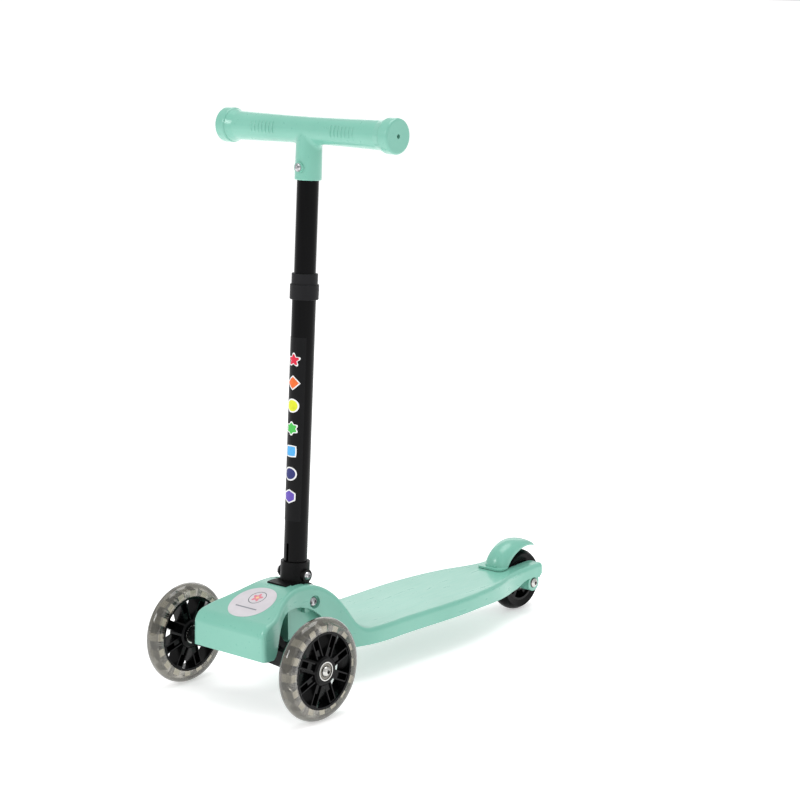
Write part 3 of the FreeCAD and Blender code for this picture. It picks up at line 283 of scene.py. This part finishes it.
def badge():
    """Pale printed disc: a ringed five-lobed motif, and a plain bar in front of it."""
    g = Graph("badge_print")
    back = g.math("SUBTRACT", BADGE_CENTRE.x, g.axis(0))
    motif_x = g.math("SUBTRACT", back, MOTIF_BACK)
    side = g.axis(1)
    reach = g.math("SQRT", g.math("ADD", g.math("MULTIPLY", motif_x, motif_x),
                                  g.math("MULTIPLY", side, side)))
    turn = g.math("ARCTAN2", side, motif_x)
    lobes = g.math("MULTIPLY", g.math("COSINE", g.math("MULTIPLY", turn, 5.0)), PETAL_WAVE)
    petal = g.math("LESS_THAN", reach, g.math("ADD", lobes, PETAL_REACH))
    heart = g.math("LESS_THAN", reach, HEART_RADIUS)
    ring = g.math("LESS_THAN", g.math("ABSOLUTE", g.math("SUBTRACT", reach, RING_RADIUS)),
                  RING_HALF_WIDTH)
    bar = g.math("LESS_THAN", g.math("ABSOLUTE", g.math("ADD", back, BAR_FRONT)),
                 BADGE_BAR_HALF[0])
    inside = g.math("LESS_THAN", g.math("ABSOLUTE", side), BADGE_BAR_HALF[1])
    bar = g.math("MULTIPLY", bar, inside)
    paper = g.ramp(g.noise(60, detail=3), [(0.3, srgb(206, 201, 206)),
                                           (0.7, srgb(216, 211, 216))])
    colour = g.mix(petal, paper, srgb(222, 128, 144))
    colour = g.mix(heart, colour, srgb(240, 206, 150))
    colour = g.mix(ring, colour, srgb(70, 74, 84))
    colour = g.mix(bar, colour, srgb(128, 130, 138))
    g.join(colour, g.shader.inputs["Base Color"])
    g.join(g.ramp(g.noise(180, detail=3), [(0.3, 0.3), (0.8, 0.42)]),
           g.shader.inputs["Roughness"])
    return g.material


def film(name, dark, light):
    """Printed plastic film."""
    g = Graph(name)
    g.join(g.ramp(g.noise(90, detail=3), [(0.3, dark), (0.7, light)]),
           g.shader.inputs["Base Color"])
    g.put(Specular_IOR_Level=0.16)
    g.join(g.ramp(g.noise(240, detail=3), [(0.3, 0.3), (0.8, 0.45)]),
           g.shader.inputs["Roughness"])
    g.bump(g.noise(1200, detail=1), 0.00002)
    return g.material


# ------------------------------------------------------------------ CAD nodes' materials
mint = moulded("mint_plastic", MINT_DEEP, MINT, 0.32, coat=0.45, subsurface=0.04)
black_plastic = moulded("black_plastic", BLACK, BLACK_LIGHT, 0.42, grain=0.00006, shine=0.14)
hub_black = moulded("hub_plastic", srgb(4, 4, 5), srgb(8, 8, 9), 0.2, coat=0.04, shine=0.14)
collar_black = moulded("collar_plastic", srgb(22, 22, 24), srgb(31, 31, 33), 0.42,
                       grain=0.00008, shine=0.14)
tube_black = painted("painted_tube", srgb(4, 4, 5), srgb(9, 9, 10), 0.16)
steel = plated("plated_steel", srgb(214, 214, 216), srgb(150, 150, 154), 0.16)
front_metal = wheel_metal("front_wheel_metal", FRONT_WHEEL)
rear_metal = wheel_metal("rear_wheel_metal", REAR_WHEEL)
rear_rubber = moulded("rear_polyurethane", srgb(5, 5, 6), srgb(9, 9, 10), 0.3, shine=0.08)
bush = moulded("bush_rubber", srgb(24, 24, 25), srgb(38, 38, 40), 0.6)
clear = clear_tyre()
modules = light_module()

FINISHES = {
    mint: ("deck", "brake_fender", "handlebar", "grip_end_caps"),
    black_plastic: ("truck", "stem_base", "fold_button", "height_button"),
    hub_black: ("front_left_hub", "front_right_hub", "rear_hub"),
    collar_black: ("collar_clamp", "collar_bush"),
    tube_black: ("lower_tube", "upper_tube"),
    steel: ("fold_bolt", "fold_nut", "steering_bolt", "steering_washer", "steering_nut",
            "rear_axle_nut", "rear_axle_spacers", "fender_pin",
            "fender_springs", "front_axle_nuts", "front_axle_spacers",
            "sleeve_bolt", "sleeve_nut", "fold_button_spring", "height_button_spring",
            "neck_screw", "neck_washer"),
    front_metal: ("front_left_bearings", "front_right_bearings", "front_axle_bolts"),
    rear_metal: ("rear_bearings", "rear_axle_bolt"),
    clear: ("front_left_tyre", "front_right_tyre"),
    modules: ("front_left_light_modules", "front_right_light_modules"),
    rear_rubber: ("rear_tyre",),
    bush: ("steering_bush",),
    badge(): ("hood_badge",),
    film("label_film", srgb(9, 9, 11), srgb(14, 14, 16)): ("pole_label",),
}
for finish, names in FINISHES.items():
    for name in names:
        for material_slot in NODES[name].material_slots:
            material_slot.material = finish


# ------------------------------------------------------------------ pieces made here
def on_pole(point):
    """From the pole's own frame (Z up the pole, 0 at the fold bolt) to the scooter's."""
    return Matrix.Rotation(-POLE_LEAN, 4, "Y") @ Vector(point) + POLE_FOOT


def mesh_object(name, vertices, faces, materials, face_materials=None):
    """A new smooth object in the scene, from vertices and faces."""
    mesh = bpy.data.meshes.new(name)
    mesh.from_pydata(vertices, [], faces)
    for item in materials:
        mesh.materials.append(item)
    for index, polygon in enumerate(mesh.polygons):
        polygon.use_smooth = True
        if face_materials:
            polygon.material_index = face_materials[index]
    mesh.update()
    piece = bpy.data.objects.new(name, mesh)
    bpy.context.scene.collection.objects.link(piece)
    return piece


def polygon_reach(corners, angle):
    """Distance from the middle to the edge of a regular polygon with its corners at 1."""
    slice_angle = 2 * math.pi / corners
    inside = (angle % slice_angle) - slice_angle / 2
    return math.cos(slice_angle / 2) / math.cos(inside)


MARKS = [  # lowest first: colour, and the reach of its outline at each angle
    (srgb(104, 84, 176), lambda a: 0.86 * polygon_reach(6, a) + 0.1),
    (srgb(52, 56, 110), lambda a: 0.92),
    (srgb(84, 166, 222), lambda a: 0.84 * polygon_reach(4, a + math.pi / 4) + 0.2),
    (srgb(78, 184, 84), lambda a: 0.82 + 0.13 * math.cos(6 * a)),
    (srgb(214, 218, 52), lambda a: 0.93),
    (srgb(226, 108, 52), lambda a: polygon_reach(4, a) * 0.9 + 0.1),
    (srgb(206, 42, 66), lambda a: 0.76 + 0.2 * math.cos(5 * a)),
]
MARK_TURNS = 48
MARK_RINGS = 5
MARK_STRETCH = 1.15              # marks are a little wider than tall
MARK_INNER = 0.8                 # coloured part of a mark, inside its pale outline
OUTLINE_PROUD = 0.00004
MARK_PROUD = 0.00012


def mark_disc(reach, middle, size, radius):
    """Filled outline wrapped round the tube: vertices and faces."""
    points = [on_pole((radius, 0, middle))]
    for ring in range(1, MARK_RINGS + 1):
        for k in range(MARK_TURNS):
            angle = 2 * math.pi * k / MARK_TURNS
            out = size * reach(angle) * ring / MARK_RINGS
            wrap = out * math.sin(angle) * MARK_STRETCH / radius
            points.append(on_pole((radius * math.cos(wrap), radius * math.sin(wrap),
                                   middle + out * math.cos(angle))))
    faces = [(0, 1 + k, 1 + (k + 1) % MARK_TURNS) for k in range(MARK_TURNS)]
    for ring in range(MARK_RINGS - 1):
        inner = 1 + ring * MARK_TURNS
        outer = inner + MARK_TURNS
        for k in range(MARK_TURNS):
            after = (k + 1) % MARK_TURNS
            faces.append((inner + k, outer + k, outer + after, inner + after))
    return points, faces


def make_marks():
    """Seven coloured shapes with pale outlines up the front of the label."""
    outline = film("mark_outline", srgb(236, 236, 236), srgb(246, 246, 246))
    for index, (colour, reach) in enumerate(MARKS):
        name = "label_mark_%d" % (index + 1)
        middle = MARK_FIRST + index * MARK_PITCH
        light = tuple(min(1.0, channel * 1.18) for channel in colour[:3]) + (1.0,)
        points, faces = mark_disc(reach, middle, MARK_HALF, LABEL_RADIUS + OUTLINE_PROUD)
        edge_count = len(faces)
        more, more_faces = mark_disc(reach, middle, MARK_HALF * MARK_INNER,
                                     LABEL_RADIUS + MARK_PROUD)
        faces += [tuple(k + len(points) for k in face) for face in more_faces]
        points += more
        paint = [0] * edge_count + [1] * len(more_faces)
        piece = mesh_object(name, points, faces, [outline, film(name, colour, light)], paint)
        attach(piece, "stem")


RIDGE_COUNT = 7
RIDGE_PITCH = 0.0056
RIDGE_HALF_LENGTH = 0.0075       # round the bar
RIDGE_HALF_WIDTH = 0.0013
RIDGE_HEIGHT = 0.0011
RIDGE_TURN = math.radians(4)     # above straight forward
RIDGE_SUNK = 0.0002              # the ridges' edges lie this deep in the bar
RIDGE_STEPS = 8


def bar_growth(y):
    """How much the bar has grown at distance y from its middle."""
    return BAR_GROWTH * min(1.0, abs(y) / BAR_TAPER)


def ridge_face(y0, start):
    """One domed ridge centred at y0 along the bar: vertices, and faces numbered from start."""
    points = []
    for i in range(RIDGE_STEPS + 1):
        around = 2 * i / RIDGE_STEPS - 1
        angle = RIDGE_TURN + around * RIDGE_HALF_LENGTH / BAR_RADIUS
        for j in range(RIDGE_STEPS + 1):
            beside = 2 * j / RIDGE_STEPS - 1
            dome = max(0.0, 1 - around ** 6) * max(0.0, 1 - beside ** 4)
            reach = BAR_RADIUS - RIDGE_SUNK + RIDGE_HEIGHT * math.sqrt(dome) + bar_growth(y0)
            points.append(on_pole((reach * math.cos(angle), y0 + beside * RIDGE_HALF_WIDTH,
                                   BAR_DISTANCE + reach * math.sin(angle))))
    row = RIDGE_STEPS + 1
    corners = [start + i * row + j for i in range(RIDGE_STEPS) for j in range(RIDGE_STEPS)]
    return points, [(a, a + 1, a + row + 1, a + row) for a in corners]


def make_ridges():
    """Two rows of small raised ridges on the front of the bar, one for each hand."""
    for row, middle in enumerate(RIDGE_CENTRES):
        points = []
        faces = []
        for k in range(RIDGE_COUNT):
            y0 = middle + (k - (RIDGE_COUNT - 1) / 2) * RIDGE_PITCH
            more, more_faces = ridge_face(y0, len(points))
            points += more
            faces += more_faces
        piece = mesh_object("grip_ridges_%d" % (row + 1), points, faces, [mint])
        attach(piece, "handlebar")


make_marks()
make_ridges()


# ------------------------------------------------------------------ stage, light and camera
FLOOR_HALF = 30.0
FLOOR_GLOW = 0.46
WORLD_STRENGTH = 0.66
MIDDLE = (0, 0, 0.3)
LIGHTS = [  # name, place, target, width, height, watts
    ("key", (2.5, -0.9, 1.7), MIDDLE, 0.8, 0.8, 16),
    ("side", (0.8, 2.6, 1.4), MIDDLE, 1.2, 1.2, 3),
    ("top", (-0.4, 0.1, 2.6), MIDDLE, 1.8, 1.8, 28),
    ("back", (-2.15, -1.85, 1.3), (-0.1, 0, 0.06), 2.4, 0.9, 7),
]


def area_light(name, place, target, width, height, power):
    light = bpy.data.lights.new(name, "AREA")
    light.shape = "RECTANGLE"
    light.size = width
    light.size_y = height
    light.energy = power
    lamp = bpy.data.objects.new(name, light)
    lamp.location = place
    lamp.rotation_euler = (Vector(target) - Vector(place)).to_track_quat("-Z", "Y").to_euler()
    bpy.context.scene.collection.objects.link(lamp)


def make_floor():
    g = Graph("floor_paint")
    g.join(g.ramp(g.noise(2, detail=2), [(0.3, srgb(244, 244, 244)),
                                         (0.7, srgb(248, 248, 248))]),
           g.shader.inputs["Base Color"])
    g.put(Roughness=0.9, Emission_Strength=FLOOR_GLOW)
    g.shader.inputs["Emission Color"].default_value = (1, 1, 1, 1)
    corners = [(-FLOOR_HALF, -FLOOR_HALF, 0), (FLOOR_HALF, -FLOOR_HALF, 0),
               (FLOOR_HALF, FLOOR_HALF, 0), (-FLOOR_HALF, FLOOR_HALF, 0)]
    mesh_object("floor", corners, [(0, 1, 2, 3)], [g.material])


def make_world():
    world = bpy.data.worlds.new("studio")
    world.use_nodes = True
    backdrop = world.node_tree.nodes["Background"]
    backdrop.inputs["Color"].default_value = (1, 1, 1, 1)
    backdrop.inputs["Strength"].default_value = WORLD_STRENGTH
    bpy.context.scene.world = world


def make_camera():
    camera = bpy.data.cameras.new("photo_view")
    camera.lens = CAMERA_LENS
    camera.sensor_width = 36.0
    viewer = bpy.data.objects.new("photo_view", camera)
    flat = math.cos(CAMERA_ELEVATION)
    gaze = Vector((-math.cos(CAMERA_AZIMUTH) * flat, -math.sin(CAMERA_AZIMUTH) * flat,
                   -math.sin(CAMERA_ELEVATION)))
    viewer.location = CAMERA_AT
    viewer.rotation_euler = gaze.to_track_quat("-Z", "Y").to_euler()
    bpy.context.scene.collection.objects.link(viewer)
    bpy.context.scene.camera = viewer
    bpy.context.scene.view_settings.view_transform = "Standard"


make_floor()
make_world()
for settings in LIGHTS:
    area_light(*settings)
make_camera()
